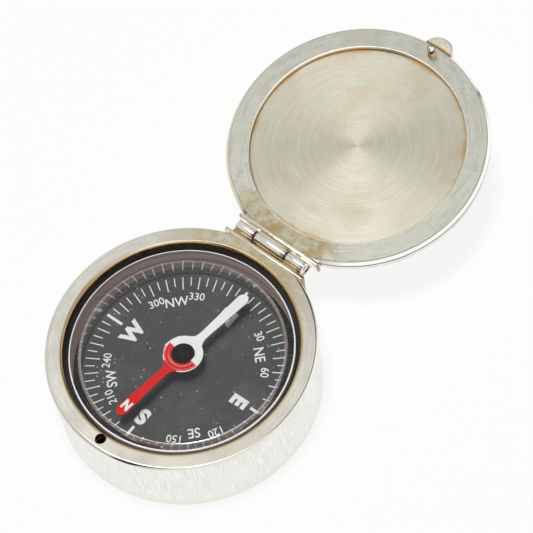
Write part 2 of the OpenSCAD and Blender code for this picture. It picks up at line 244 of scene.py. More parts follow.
def soft_box(name, towards, distance, size, watts):
    """A square lamp that faces the compass from a direction."""
    lamp_data = bpy.data.lights.new(name, "AREA")
    lamp_data.size = size
    lamp_data.energy = watts
    lamp = bpy.data.objects.new(name, lamp_data)
    bpy.context.scene.collection.objects.link(lamp)
    outwards = towards.normalized()
    lamp.matrix_world = outwards.to_track_quat("Z", "Y").to_matrix().to_4x4()
    lamp.location = CAMERA_TARGET + outwards * distance
    return lamp


key_box = soft_box("key_soft_box", KEY_FROM, KEY_DISTANCE, KEY_SIZE, KEY_WATTS)
key_box.visible_glossy = False
top_panel = soft_box(
    "top_white_panel", TOP_PANEL_FROM, TOP_PANEL_DISTANCE, TOP_PANEL_SIZE, TOP_PANEL_WATTS
)
top_panel.visible_diffuse = False


# Case side. A silver tube, turned with a small round at its foot and brushed upright by hand
# with fine emery, so it shows short upright hairs of light and dark.
ROUND_STEPS = 240
ARC_STEPS = 8
HOLD = 0.03 * MM
SMOOTH_ANGLE = math.radians(32)
SIDE_R = 18.85 * MM
SIDE_IN_R = 17.35 * MM
SIDE_FOOT_R = 0.4 * MM
SEAM_Z = 10.3 * MM
LEAF_Y = 17.95 * MM
LEAF_SEAT_L = 14.04 * MM
LEAF_FOOT_Z = 7.5 * MM
CATCH_X = 0.4 * MM
CATCH_Y = -17.395 * MM
SOCKET_BORE_R = 0.99 * MM
SOCKET_Z = 7.6 * MM
OVERRUN = 0.5 * MM
SILVER_LIGHT = "#fbfbf8"
SILVER_SHADE = "#e6e6e0"
HAIR_SPAN = (0.38, 0.66)
HAIR_W = 0.14 * MM
HAIR_L = 4.0 * MM
HAIR_DEPTH = 0.0022 * MM
SMALL_STEPS = 48
MIDDLE_STEPS = 96
MERGE_GAP = 0.001 * MM
NOISE_SPAN = (0.3, 0.7)
NOISE_CORE = (0.35, 0.65)


def arc(mid_r, mid_z, radius, start, end, steps=ARC_STEPS):
    """Points of a rounded edge from one angle to another, 0 degrees outwards and 90 upwards."""
    angles = [math.radians(start + (end - start) * i / steps) for i in range(steps + 1)]
    return [(mid_r + radius * math.cos(a), mid_z + radius * math.sin(a)) for a in angles]


def held(outline, closed):
    """Adds a point close to each end of every long straight run, so that flats shade flat."""
    points = []
    runs = list(zip(outline, outline[1:] + (outline[:1] if closed else [])))
    for (r_a, z_a), (r_b, z_b) in runs:
        points.append((r_a, z_a))
        length = math.hypot(r_b - r_a, z_b - z_a)
        if length > 4 * HOLD:
            for share in (HOLD / length, 1 - HOLD / length):
                points.append((r_a + (r_b - r_a) * share, z_a + (z_b - z_a) * share))
    return points if closed else points + [outline[-1]]


def alone(piece):
    """Makes a piece the only one selected, and the active one."""
    bpy.ops.object.select_all(action="DESELECT")
    piece.select_set(True)
    bpy.context.view_layer.objects.active = piece


def lathe(name, outline, steps=ROUND_STEPS):
    """Turns (radius, height) points round the z axis, closed up unless they start on the axis."""
    solid = outline[0][0] == 0
    points = held(outline[1:] if solid else outline, not solid)
    bpy.ops.object.select_all(action="DESELECT")
    bpy.ops.mesh.primitive_circle_add(
        vertices=steps, radius=points[0][0], location=(0, 0, points[0][1]),
        fill_type="TRIFAN" if solid else "NOTHING",
    )
    piece = bpy.context.object
    piece.name = name
    piece.data.name = name
    bpy.ops.object.transform_apply(location=True)
    bpy.ops.object.mode_set(mode="EDIT")
    bpy.ops.mesh.select_mode(type="EDGE")
    bpy.ops.mesh.select_all(action="DESELECT")
    bpy.ops.mesh.select_non_manifold()
    for (r_a, z_a), (r_b, z_b) in zip(points, points[1:] + (points[:1] if not solid else [])):
        bpy.ops.mesh.extrude_edges_move(TRANSFORM_OT_translate={"value": (0, 0, z_b - z_a)})
        if r_b == 0:
            bpy.ops.mesh.merge(type="CENTER")
        else:
            bpy.ops.transform.resize(value=(r_b / r_a, r_b / r_a, 1), center_override=(0, 0, 0))
    bpy.ops.mesh.select_all(action="SELECT")
    bpy.ops.mesh.remove_doubles(threshold=MERGE_GAP)
    bpy.ops.mesh.normals_make_consistent(inside=False)
    bpy.ops.object.mode_set(mode="OBJECT")
    return piece


def block(name, low, high):
    """A box between two corners."""
    low, high = Vector(low), Vector(high)
    bpy.ops.object.select_all(action="DESELECT")
    bpy.ops.mesh.primitive_cube_add(size=1, location=(low + high) / 2, scale=high - low)
    piece = bpy.context.object
    piece.name = name
    bpy.ops.object.transform_apply(location=True, scale=True)
    return piece


def rod(name, radius, low, high, x=0, y=0, steps=SMALL_STEPS):
    """An upright round bar between two heights."""
    bpy.ops.object.select_all(action="DESELECT")
    bpy.ops.mesh.primitive_cylinder_add(
        vertices=steps, radius=radius, depth=high - low, location=(x, y, (low + high) / 2)
    )
    piece = bpy.context.object
    piece.name = name
    bpy.ops.object.transform_apply(location=True)
    return piece


def shape_with(piece, tool, operation="DIFFERENCE"):
    """Cuts a piece with a tool, or joins the two, and removes the tool."""
    change = piece.modifiers.new("shape", "BOOLEAN")
    change.operation = operation
    change.solver = "EXACT"
    change.object = tool
    alone(piece)
    bpy.ops.object.modifier_apply(modifier=change.name)
    bpy.data.objects.remove(tool)
    return piece


def polar(tree, space):
    """Radius and angle round the z axis, and height, from a place on the piece."""
    parts = add_node(tree, "ShaderNodeSeparateXYZ", links={0: space})
    level = add_node(
        tree, "ShaderNodeCombineXYZ", links={"X": parts.outputs["X"], "Y": parts.outputs["Y"]}
    )
    radius = add_node(tree, "ShaderNodeVectorMath", {"operation": "LENGTH"}, {0: level.outputs[0]})
    angle = add_node(
        tree, "ShaderNodeMath", {"operation": "ARCTAN2"},
        {0: parts.outputs["Y"], 1: parts.outputs["X"]},
    )
    return radius.outputs["Value"], angle.outputs[0], parts.outputs["Z"]


def streaks(tree, across, along, width, length, span=1.0, detail=3.0):
    """Fine lines from two measures on the surface: thin across and long along, in metres."""
    thin = add_node(tree, "ShaderNodeMath", {"operation": "MULTIPLY", 1: span / width}, {0: across})
    long = add_node(tree, "ShaderNodeMath", {"operation": "MULTIPLY", 1: 1 / length}, {0: along})
    flat = add_node(tree, "ShaderNodeCombineXYZ", links={"X": thin.outputs[0], "Y": long.outputs[0]})
    lines = add_node(
        tree, "ShaderNodeTexNoise",
        {"noise_dimensions": "2D", "Scale": 1.0, "Detail": detail, "Roughness": 0.6},
        {"Vector": flat.outputs[0]},
    )
    return lines.outputs["Fac"]


def clouds(tree, space, size, detail=4.0, roughness=0.6):
    """Soft mottling with patches of a real size."""
    patches = add_node(
        tree, "ShaderNodeTexNoise", {"Scale": 1 / size, "Detail": detail, "Roughness": roughness},
        {"Vector": space},
    )
    return patches.outputs["Fac"]


def coloured(tree, shader, tone, rough=None):
    """Gives a shader its colour and, where that varies, its roughness."""
    tree.links.new(tone, shader.inputs["Base Color"])
    if rough:
        tree.links.new(rough, shader.inputs["Roughness"])


def relief(tree, shader, height, depth, strength=1.0):
    """Raises a fine relief of a real depth on the surface."""
    bump = add_node(
        tree, "ShaderNodeBump", {"Strength": strength, "Distance": depth}, {"Height": height}
    )
    tree.links.new(bump.outputs[0], shader.inputs["Normal"])
    return bump


def dress(piece, finish, body, nodes):
    """Gives a finished piece its material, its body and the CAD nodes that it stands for."""
    if not piece.data.materials:
        piece.data.materials.append(finish)
    alone(piece)
    bpy.ops.object.shade_smooth_by_angle(angle=SMOOTH_ANGLE)
    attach(piece, body)
    if nodes:
        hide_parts(*nodes)


def rounded(piece, width, segments, sharp_angle):
    """Rounds the edges of a piece that are sharper than an angle."""
    corners = piece.modifiers.new("rounded", "BEVEL")
    corners.width = width
    corners.segments = segments
    corners.limit_method = "ANGLE"
    corners.angle_limit = sharp_angle
    alone(piece)
    bpy.ops.object.modifier_apply(modifier=corners.name)
    return piece


def leaf_seat(low, high):
    """The tool that cuts the flat seat of a hinge leaf, between two heights."""
    return block("leaf_seat", (-LEAF_SEAT_L / 2, LEAF_Y, low), (LEAF_SEAT_L / 2, 20 * MM, high))


case_band = lathe("case_band", [
    (SIDE_IN_R, 0),
    *arc(SIDE_R - SIDE_FOOT_R, SIDE_FOOT_R, SIDE_FOOT_R, -90, 0),
    (SIDE_R, SEAM_Z),
    (SIDE_IN_R, SEAM_Z),
])
shape_with(case_band, leaf_seat(LEAF_FOOT_Z, SEAM_Z + OVERRUN))
shape_with(case_band, rod("socket_bore", SOCKET_BORE_R, SOCKET_Z, SEAM_Z + OVERRUN, CATCH_X, CATCH_Y))

# Brushed sterling silver: near white, with upright hairs that turn slightly warm and dark
brushed_side, tree, shader, place = new_material("brushed_sterling_side", {"Metallic": 1.0})
radius, angle, height = polar(tree, place)
hairs = streaks(tree, angle, height, HAIR_W, HAIR_L, span=SIDE_R)
strokes = streaks(tree, angle, height, 8 * HAIR_W, 3 * HAIR_L, span=SIDE_R)
breath = clouds(tree, place, 4 * MM)
hair_tone = shaded(tree, SILVER_SHADE, SILVER_LIGHT, hairs, *HAIR_SPAN)
stroke_tone = shaded(tree, "#f2f0e8", hair_tone, strokes, 0.3, 0.52)
foot_share = ramp(tree, height, 0.2 * MM, 3.0 * MM)
side_tone = blend_colour(tree, foot_share, "#f0ede3", stroke_tone)
coloured(tree, shader, side_tone, ramp(tree, breath, *NOISE_SPAN, 0.30, 0.40))
relief(tree, shader, hairs, HAIR_DEPTH)
dress(case_band, brushed_side, "case", ["case_side"])


# Base plate. A silver disc soldered into the foot of the tube, faced on the lathe, so fine
# rings run round its middle; the corner is broken so that the joint shows as a hairline.
BASE_R = 17.33 * MM
BASE_T = 1.0 * MM
BROKEN_CORNER = 0.08 * MM

base_disc = lathe("base_disc", [
    (0, BASE_T), (BASE_R, BASE_T), (BASE_R, BROKEN_CORNER), (BASE_R - BROKEN_CORNER, 0), (0, 0),
])
faced_base, tree, shader, place = new_material("faced_sterling_base", {"Metallic": 1.0})
radius, angle, height = polar(tree, place)
rings = streaks(tree, radius, angle, 0.16 * MM, 1.6)
wear = clouds(tree, place, 6 * MM)
ring_tone = shaded(tree, "#c9c6b9", "#dedbd0", rings, 0.36, 0.64)
base_tone = shaded(tree, ring_tone, "#c2b592", wear, 0.5, 0.75)
coloured(tree, shader, base_tone, ramp(tree, wear, *NOISE_SPAN, 0.26, 0.38))
relief(tree, shader, rings, 0.004 * MM)
dress(base_disc, faced_base, "case", ["base_plate"])


# Bezel. A turned and polished silver ring, pressed into the tube by its spigot. Handling has
# left fine wipe marks, and old tarnish lies at its inner edge and round the hinge.
CASE_R = 19.0 * MM
CASE_H = 11.5 * MM
WELL_R = 16.5 * MM
BEZEL_EDGE_R = 0.5 * MM
BEZEL_LIP = 0.3 * MM
SEAM_ROUND = 0.1 * MM
SPIGOT_Z = 9.3 * MM
SPIGOT_IN_R = 16.52 * MM
SPIGOT_OUT_R = 17.33 * MM
CATCH_HOLE_R = 0.75 * MM
HOLE_EDGE = 0.1 * MM

bezel = lathe("bezel", [
    (SPIGOT_IN_R, SPIGOT_Z),
    (SPIGOT_OUT_R, SPIGOT_Z),
    (SPIGOT_OUT_R, SEAM_Z),
    *arc(CASE_R - SEAM_ROUND, SEAM_Z + SEAM_ROUND, SEAM_ROUND, -90, 0, 4),
    *arc(CASE_R - BEZEL_EDGE_R, CASE_H - BEZEL_EDGE_R, BEZEL_EDGE_R, 0, 90, 12),
    *arc(WELL_R + BEZEL_LIP, CASE_H - BEZEL_LIP, BEZEL_LIP, 90, 180, 5),
    (WELL_R, SEAM_Z),
    (SPIGOT_IN_R, SEAM_Z),
])
shape_with(bezel, leaf_seat(SEAM_Z - OVERRUN, CASE_H + OVERRUN))
catch_bore = lathe("catch_bore", [
    (0, SPIGOT_Z - OVERRUN), (SOCKET_BORE_R, SPIGOT_Z - OVERRUN), (SOCKET_BORE_R, SEAM_Z),
    (CATCH_HOLE_R, SEAM_Z), (CATCH_HOLE_R, CASE_H - HOLE_EDGE),
    (CATCH_HOLE_R + 2 * HOLE_EDGE, CASE_H + HOLE_EDGE), (0, CASE_H + HOLE_EDGE),
], steps=SMALL_STEPS)
catch_bore.data.transform(Matrix.Translation((CATCH_X, CATCH_Y, 0)))
shape_with(bezel, catch_bore)

# Polished sterling silver, worn to a soft gloss and gilded by tarnish. The near side is painted
# a little darker as painted shade, the lip is gilt most on the right, and the outer edge is
# brushed like the side.
BEZEL_WAYS = {"left": (-0.85, -0.52, 0), "near": (0.59, -0.81, 0), "far": (-0.94, 0.34, 0)}
BEZEL_STAIN_FROM = (-1.0 * MM, 19.0 * MM, CASE_H)
BRUSHED_EDGE = (18.86 * MM, 18.97 * MM)
BLOTCH_SPAN = (0.25, 0.75)


def hinge_stain(tree, place, blotches, middle, uneven, reach, depth):
    """How deep the tarnish round the hinge is: it ends unevenly some way from a middle, in blotches."""
    distance = add_node(tree, "ShaderNodeVectorMath", {"operation": "DISTANCE", 1: middle}, {0: place})
    shift = ramp(tree, blotches, *BLOTCH_SPAN, -uneven, uneven)
    uneven_reach = add_node(
        tree, "ShaderNodeMath", {"operation": "ADD"}, {0: distance.outputs["Value"], 1: shift}
    )
    return overlap(tree, (uneven_reach.outputs[0], *reach), (blotches, *depth))


polished_bezel, tree, shader, place = new_material("polished_sterling_bezel", {"Metallic": 1.0})
radius, angle, height = polar(tree, place)
wipes = streaks(tree, radius, angle, 0.25 * MM, 0.35)
breath = clouds(tree, place, 5 * MM)
blotches = clouds(tree, place, 1.6 * MM, detail=6.0)
towards = {
    side: add_node(
        tree, "ShaderNodeVectorMath", {"operation": "DOT_PRODUCT", 1: way}, {0: place}
    ).outputs["Value"]
    for side, way in BEZEL_WAYS.items()
}
gilt_share = hinge_stain(
    tree, place, blotches, BEZEL_STAIN_FROM, 3.5 * MM, (18.0 * MM, 7.5 * MM), (*NOISE_SPAN, 0.35, 1.0)
)
edge_shift = ramp(tree, breath, *NOISE_SPAN, -0.1 * MM, 0.15 * MM)
uneven_radius = add_node(
    tree, "ShaderNodeMath", {"operation": "SUBTRACT"}, {0: radius, 1: edge_shift}
).outputs[0]
edge_stain = overlap(
    tree, (uneven_radius, 17.1 * MM, 16.55 * MM), (towards["left"], 3 * MM, 16 * MM, 0.35, 1.0)
)
lip_gilt = overlap(tree, (radius, 16.95 * MM, 16.7 * MM), (towards["far"], 3 * MM, 13 * MM, 0.8, 0.12))
wall_share = overlap(tree, (height, 11.43 * MM, 11.3 * MM), (radius, 16.78 * MM, 16.66 * MM))
# Painted shade: the bezel is painted a little darker towards the near side.
near_painted_shade = ramp(tree, towards["near"], 9 * MM, 16 * MM)
clean_tone = shaded(tree, "#f4f2e8", "#faf8f1", breath, *NOISE_CORE)
wiped_tone = shaded(tree, "#eeebe0", clean_tone, wipes, 0.32, 0.6)
near_shaded_tone = blend_colour(tree, near_painted_shade, wiped_tone, "#e7e3d6")
gilt_tone = blend_colour(tree, gilt_share, near_shaded_tone, "#d0c197")
stained_tone = blend_colour(tree, edge_stain, gilt_tone, "#b39a68")
lipped_tone = blend_colour(tree, lip_gilt, stained_tone, "#d6b478")
wall_tone = shaded(tree, "#8a6d48", "#b9a687", blotches, *NOISE_CORE)
wall_gilt = shaded(tree, wall_tone, "#e0b878", height, 11.15 * MM, 11.3 * MM)
seam_tone = shaded(tree, wall_gilt, "#e6dfd0", height, 10.5 * MM, 10.42 * MM)
walled_tone = blend_colour(tree, wall_share, lipped_tone, seam_tone)
hairs = streaks(tree, angle, height, HAIR_W, HAIR_L, span=SIDE_R)
hair_tone = shaded(tree, SILVER_SHADE, SILVER_LIGHT, hairs, *HAIR_SPAN)
bezel_tone = shaded(tree, walled_tone, hair_tone, radius, *BRUSHED_EDGE)
coloured(tree, shader, bezel_tone)
polished_rough = overlap(
    tree, (breath, *NOISE_SPAN, 0.13, 0.24), (radius, 18.35 * MM, 18.6 * MM, 1.0, 0.35)
)
brushed_rough = add_node(
    tree, "ShaderNodeMath", {"operation": "MAXIMUM"},
    {0: polished_rough, 1: ramp(tree, radius, *BRUSHED_EDGE, 0.0, 0.34)},
)
tree.links.new(brushed_rough.outputs[0], shader.inputs["Roughness"])
relief(tree, shader, wipes, 0.0006 * MM)
dress(bezel, polished_bezel, "case", ["bezel_ring"])


# Packing disc, capsule floor, gasket, sleeve, filler plug, post and bush. A cork disc lies under
# the capsule; the floor and the sleeve are moulded black plastic, and the gasket is rubber.
def plain_node(node, finish):
    """Gives a CAD node whose shape is right its own material."""
    for slot in frame["nodes"][node].material_slots:
        slot.material = finish


cork, tree, shader, place = new_material("pressed_cork", {"Roughness": 0.85})
grains = add_node(tree, "ShaderNodeTexVoronoi", {"Scale": 1 / (0.8 * MM)}, {"Vector": place})
grain_tone = shaded(tree, "#a5804f", "#7c5a34", grains.outputs["Distance"], 0.1, 0.7)
coloured(tree, shader, grain_tone)
relief(tree, shader, grains.outputs["Distance"], 0.05 * MM)
plain_node("packing_disc", cork)


def mottled_finish(name, size, tones, settings, edges=NOISE_CORE, rough=None, depth=0):
    """A finish mottled between two tones in patches of a real size, with its plain settings. Its
    roughness may follow the patches between two ends, and so may a fine relief."""
    finish, tree, shader, place = new_material(name, settings)
    patches = clouds(tree, place, size)
    tone = shaded(tree, *tones, patches, *edges)
    coloured(tree, shader, tone, ramp(tree, patches, *NOISE_SPAN, *rough) if rough else None)
    if depth:
        relief(tree, shader, patches, depth)
    return finish


moulded = mottled_finish(
    "moulded_black_plastic", 0.25 * MM, ("#141415", "#1f1f21"), {}, rough=(0.35, 0.5), depth=0.006 * MM
)
rubber = mottled_finish(
    "black_gasket_rubber", 0.5 * MM, ("#26211f", "#3a3532"), {"Roughness": 0.7}
)
drawn_steel = mottled_finish(
    "drawn_steel_wire", 0.15 * MM, ("#9b9b98", "#b9b9b5"), {"Metallic": 1.0, "Roughness": 0.28},
    depth=0.002 * MM,
)
brass = mottled_finish(
    "turned_brass", 0.2 * MM, ("#a9803c", "#c7a25a"), {"Metallic": 1.0, "Roughness": 0.3},
    depth=0.003 * MM,
)
for node, finish in (
    ("capsule_sleeve", moulded), ("capsule_base", moulded), ("capsule_gasket", rubber),
    ("filler_plug", drawn_steel), ("pivot_post", drawn_steel), ("pivot_bush", brass),
):
    plain_node(node, finish)


# Dial. An aluminium disc sprayed matt charcoal and printed in white: a scale of 72 ticks, the
# four main letters, the half points and eight bearings, all with their tops outwards.
DIAL_Z = 2.8 * MM
DIAL_TOP_Z = 3.2 * MM
DIAL_R = 14.5 * MM
DIAL_HOLE_R = 0.77 * MM
INK_T = 0.02 * MM
CORNER_ANGLE = math.radians(50)
PRINT_TURN = math.radians(-1.6)
PRINT_SHIFT = Vector((0.12 * MM, -0.17 * MM, 0))
LETTER_SHIFT = Vector((0.08 * MM, -0.12 * MM, 0))
TICK_OUT_R = 14.2 * MM
TICKS = {
    "five": (1.4 * MM, 0.15 * MM),
    "ten": (2.0 * MM, 0.16 * MM),
    "main": (2.75 * MM, 0.42 * MM),
}
MAIN_LETTER_H = 2.2 * MM
HALF_LETTER_H = 1.45 * MM
BEARING_H = 1.15 * MM
LETTER_R = 9.5 * MM
HALF_R = 10.45 * MM
BEARING_R = 11.2 * MM
CAP_SHARE = 0.7
UNDER_LIQUID_GLOSS = 0.03
BOLD_SHARE = 0.055

dial = lathe("dial_disc", [
    (DIAL_HOLE_R, DIAL_Z), (DIAL_R, DIAL_Z), (DIAL_R, DIAL_TOP_Z), (DIAL_HOLE_R, DIAL_TOP_Z),
])
charcoal, tree, shader, place = new_material(
    "matt_charcoal_dial", {"Roughness": 0.6, "Specular IOR Level": UNDER_LIQUID_GLOSS}
)
spray = clouds(tree, place, 0.14 * MM, detail=3.0)
haze = clouds(tree, place, 5 * MM)
dust = add_node(
    tree, "ShaderNodeTexVoronoi", {"feature": "F1", "Scale": 1 / (0.75 * MM), "Randomness": 1.0},
    {"Vector": place},
)
speck_size = ramp(tree, clouds(tree, place, 2.5 * MM, detail=1.0), 0.38, 0.7, 0.05, 0.15)
speck_gap = add_node(
    tree, "ShaderNodeMath", {"operation": "SUBTRACT"}, {0: speck_size, 1: dust.outputs["Distance"]}
).outputs[0]
spray_tone = shaded(tree, "#3a3a3a", "#606060", spray, *NOISE_SPAN)
hazy_tone = shaded(tree, spray_tone, "#626161", haze, 0.45, 0.8)
dial_tone = shaded(tree, hazy_tone, "#c8c7c4", speck_gap, 0.0, 0.02)
coloured(tree, shader, dial_tone)
relief(tree, shader, spray, 0.004 * MM)
dress(dial, charcoal, "case", ["dial_plate"])

ink = mottled_finish(
    "white_printing_ink", 0.3 * MM, ("#ececea", "#fafaf8"),
    {"Roughness": 0.55, "Specular IOR Level": UNDER_LIQUID_GLOSS}, edges=(0.3, 0.6),
)


def at_bearing(bearing, radius):
    """Turns and moves flat work to a bearing on the dial, with its top outwards."""
    turn = -math.radians(bearing) - PRINT_TURN
    outwards = Matrix.Rotation(turn, 4, "Z") @ Matrix.Translation((0, radius, DIAL_TOP_Z))
    return Matrix.Translation(PRINT_SHIFT) @ outwards


def joined(name, parts):
    """Makes one piece of several."""
    alone(parts[0])
    for part in parts:
        part.select_set(True)
    bpy.ops.object.join()
    parts[0].name = name
    return parts[0]


def tick(length, width):
    """One tick of the scale, with slightly soft corners, lying under its outer end."""
    mark = block("tick", (-width / 2, -length, 0), (width / 2, 0, INK_T))
    return rounded(mark, width / 8, 2, CORNER_ANGLE)


first_ticks = {kind: tick(*size) for kind, size in TICKS.items()}
scale_marks = []
for bearing in range(0, 360, 5):
    kind = "main" if bearing % 90 == 0 else "ten" if bearing % 10 == 0 else "five"
    mark = first_ticks[kind].copy()
    mark.data = mark.data.copy()
    bpy.context.scene.collection.objects.link(mark)
    mark.data.transform(at_bearing(bearing, TICK_OUT_R))
    scale_marks.append(mark)
for mark in first_ticks.values():
    bpy.data.objects.remove(mark)
dial_scale = joined("dial_scale", scale_marks)
dress(dial_scale, ink, "case", [])


def lettering(body, height, bold_share=0.0, width_share=1.0):
    """Flat printed letters of a real height, centred on the origin, as a mesh."""
    bpy.ops.object.select_all(action="DESELECT")
    bpy.ops.object.text_add()
    words = bpy.context.object
    words.data.body = body
    words.data.align_x = "CENTER"
    words.data.align_y = "CENTER"
    words.data.size = height / CAP_SHARE
    words.data.offset = bold_share * height / CAP_SHARE
    words.data.extrude = INK_T / 2
    words.data.resolution_u = 6
    bpy.ops.object.convert(target="MESH")
    words = bpy.context.object
    xs = [v.co.x for v in words.data.vertices]
    ys = [v.co.y for v in words.data.vertices]
    middle = Vector(((min(xs) + max(xs)) / 2, (min(ys) + max(ys)) / 2, -INK_T / 2))
    words.data.transform(Matrix.Diagonal((width_share, 1, 1, 1)) @ Matrix.Translation(-middle))
    return words


print_work = []
for bearing, letter in ((0, "N"), (90, "E"), (180, "S"), (270, "W")):
    work = lettering(letter, MAIN_LETTER_H, BOLD_SHARE)
    work.data.transform(at_bearing(bearing, LETTER_R))
    print_work.append(work)
for bearing, letters in ((45, "NE"), (135, "SE"), (225, "SW"), (315, "NW")):
    work = lettering(letters, HALF_LETTER_H, 0.012, 0.9)
    work.data.transform(at_bearing(bearing, HALF_R))
    print_work.append(work)
    for side in (-15, 15):
        work = lettering(str(bearing + side), BEARING_H, 0.01, 0.95)
        work.data.transform(at_bearing(bearing + side, BEARING_R))
        print_work.append(work)
dial_letters = joined("dial_letters", print_work)
dial_letters.data.transform(Matrix.Translation(LETTER_SHIFT))
dress(dial_letters, ink, "case", [])


# Needle. A magnetised steel strip, punched with a ring in its middle, sprayed white and then
# red over its north half, with a small printed N near the red end.
NEEDLE_TURN = math.radians(-6)
NEEDLE_Z = 7.7 * MM
NEEDLE_T = 0.25 * MM
NEEDLE_RING_R = 2.8 * MM
NEEDLE_HOLE_R = 1.2 * MM
NEEDLE_HALF_WS = [
    (1.20 * MM, 1.26 * MM), (2.45 * MM, 1.22 * MM), (2.75 * MM, 0.98 * MM), (3.10 * MM, 0.78 * MM),
    (3.60 * MM, 0.64 * MM), (4.30 * MM, 0.60 * MM), (11.60 * MM, 0.82 * MM), (11.85 * MM, 0.78 * MM),
    (12.50 * MM, 0.34 * MM),
]
NEEDLE_EDGE = 0.05 * MM
NEEDLE_N_H = 1.35 * MM
NEEDLE_N_R = 10.75 * MM


def needle_arm(turn):
    """One arm: a bar cut into lengths, each end of which is drawn in to its own width."""
    root, tip = NEEDLE_HALF_WS[0][0], NEEDLE_HALF_WS[-1][0]
    arm = block("needle_arm", (-MM, root, NEEDLE_Z), (MM, tip, NEEDLE_Z + NEEDLE_T))
    alone(arm)
    bpy.ops.object.mode_set(mode="EDIT")
    for place_y, _ in NEEDLE_HALF_WS[1:-1]:
        bpy.ops.mesh.select_all(action="SELECT")
        bpy.ops.mesh.bisect(plane_co=(0, place_y, 0), plane_no=(0, 1, 0))
    bpy.ops.object.mode_set(mode="OBJECT")
    for point in arm.data.vertices:
        nearest = min(NEEDLE_HALF_WS, key=lambda station: abs(station[0] - point.co.y))
        point.co.x = math.copysign(nearest[1], point.co.x)
    arm.data.transform(Matrix.Rotation(turn, 4, "Z"))
    return arm


needle = rod("needle", NEEDLE_RING_R, NEEDLE_Z, NEEDLE_Z + NEEDLE_T, steps=120)
for turn in (0, math.pi):
    shape_with(needle, needle_arm(turn), "UNION")
needle_hole = rod("needle_hole", NEEDLE_HOLE_R, NEEDLE_Z - MM, NEEDLE_Z + MM, steps=72)
shape_with(needle, needle_hole)
needle.data.transform(Matrix.Rotation(NEEDLE_TURN, 4, "Z"))
rounded(needle, NEEDLE_EDGE, 2, CORNER_ANGLE)


def off_by(tree, measure, middle):
    """How far a measure lies from a middle, either way."""
    shifted = add_node(tree, "ShaderNodeMath", {"operation": "SUBTRACT", 1: middle}, {0: measure})
    return add_node(
        tree, "ShaderNodeMath", {"operation": "ABSOLUTE"}, {0: shifted.outputs[0]}
    ).outputs[0]


needle_paint, tree, shader, place = new_material(
    "sprayed_needle_enamel", {"Roughness": 0.42, "Specular IOR Level": UNDER_LIQUID_GLOSS}
)
square_on = add_node(
    tree, "ShaderNodeMapping", {"vector_type": "POINT", "Rotation": (0, 0, -NEEDLE_TURN)},
    {"Vector": place},
).outputs[0]
radius, angle, height = polar(tree, square_on)
needle_parts = add_node(tree, "ShaderNodeSeparateXYZ", links={0: square_on})
sideways = off_by(tree, needle_parts.outputs["X"], 0)
grit = clouds(tree, place, 0.25 * MM)
red_half = ramp(tree, needle_parts.outputs["Y"], 0.06 * MM, -0.06 * MM)
bare_rim = overlap(tree, (radius, 2.62 * MM, 2.70 * MM), (sideways, 1.15 * MM, 1.35 * MM))
red_share = add_node(
    tree, "ShaderNodeMath", {"operation": "SUBTRACT", "use_clamp": True}, {0: red_half, 1: bare_rim}
).outputs[0]
red_tone = shaded(tree, "#d21110", "#e01f19", grit, *NOISE_SPAN)
white_tone = shaded(tree, "#efefed", "#f8f8f7", grit, *NOISE_SPAN)
needle_tone = blend_colour(tree, red_share, white_tone, red_tone)
coloured(tree, shader, needle_tone)
relief(tree, shader, grit, 0.004 * MM)
dress(needle, needle_paint, "needle", ["needle_blade"])

needle_letter = lettering("N", NEEDLE_N_H, 0.06, 0.82)
needle_letter.name = "needle_letter"
needle_letter.data.transform(
    Matrix.Rotation(NEEDLE_TURN, 4, "Z") @ Matrix.Translation((0, -NEEDLE_N_R, NEEDLE_Z + NEEDLE_T))
)
dress(needle_letter, ink, "needle", [])


# Needle cap and jewel. A glossy black moulded dome, pressed into the needle's ring, holds the
# synthetic ruby that turns on the post.
CAP_R = 1.65 * MM
CAP_SKIRT_R = 1.18 * MM
CAP_BORE_R = 0.72 * MM
CAP_Z = 7.35 * MM
NEEDLE_TOP_Z = 7.95 * MM
JEWEL_TOP_Z = 8.3 * MM
CROWN_R = 2.3 * MM
CROWN_MID_Z = NEEDLE_TOP_Z + 0.75 * MM - CROWN_R

crown_edge_angle = math.degrees(math.acos(CAP_R / CROWN_R))
cap = lathe("cap_dome", [
    (0, JEWEL_TOP_Z), (CAP_BORE_R, JEWEL_TOP_Z), (CAP_BORE_R, CAP_Z), (CAP_SKIRT_R, CAP_Z),
    (CAP_SKIRT_R, NEEDLE_TOP_Z), (CAP_R, NEEDLE_TOP_Z),
    *arc(0, CROWN_MID_Z, CROWN_R, crown_edge_angle, 88, 12), (0, CROWN_MID_Z + CROWN_R),
], steps=MIDDLE_STEPS)
gloss_black = mottled_finish(
    "gloss_black_cap", 0.4 * MM, ("#030304", "#09090b"), {"Specular IOR Level": 3 * UNDER_LIQUID_GLOSS},
    edges=NOISE_SPAN, rough=(0.06, 0.12),
)
dress(cap, gloss_black, "needle", ["needle_cap"])
ruby = mottled_finish(
    "synthetic_ruby", 0.3 * MM, ("#8c1220", "#b5253a"), {"Roughness": 0.08, "IOR": 1.76},
    edges=NOISE_SPAN,
)
plain_node("pivot_jewel", ruby)


# Capsule window. A clear acrylic cup, turned over the dial and filled with damping liquid. The
# liquid bends light almost as the acrylic does, so only the outer faces refract and mirror,
# and the inner faces nearly vanish, apart from the ring moulded over the needle's cap.
CAPSULE_R = 15.75 * MM
CAPSULE_IN_R = 14.6 * MM
FLANGE_R = 16.4 * MM
FOOT_Z = 2.45 * MM
SLEEVE_Z = 3.25 * MM
WINDOW_Z = 10.6 * MM
WINDOW_UNDER_Z = 9.4 * MM
WINDOW_EDGE_R = 0.2 * MM
BOSS_Z = 8.25 * MM
BOSS_IN_R = 1.95 * MM
BOSS_OUT_R = 2.65 * MM
BOSS_ROUND = 0.16 * MM
BOSS_FLAT_HALF_W = 0.18 * MM
HAZE_SHARE = 0.8
WALL_GLEAM = 0.42
INNER_HAZE = 0.2
EDGE_HAZE = 0.95
HAZE_LIFT = (0, 0, 1.4)
HAZE_TONES = ("#bb9a8e", "#ffe7dd")
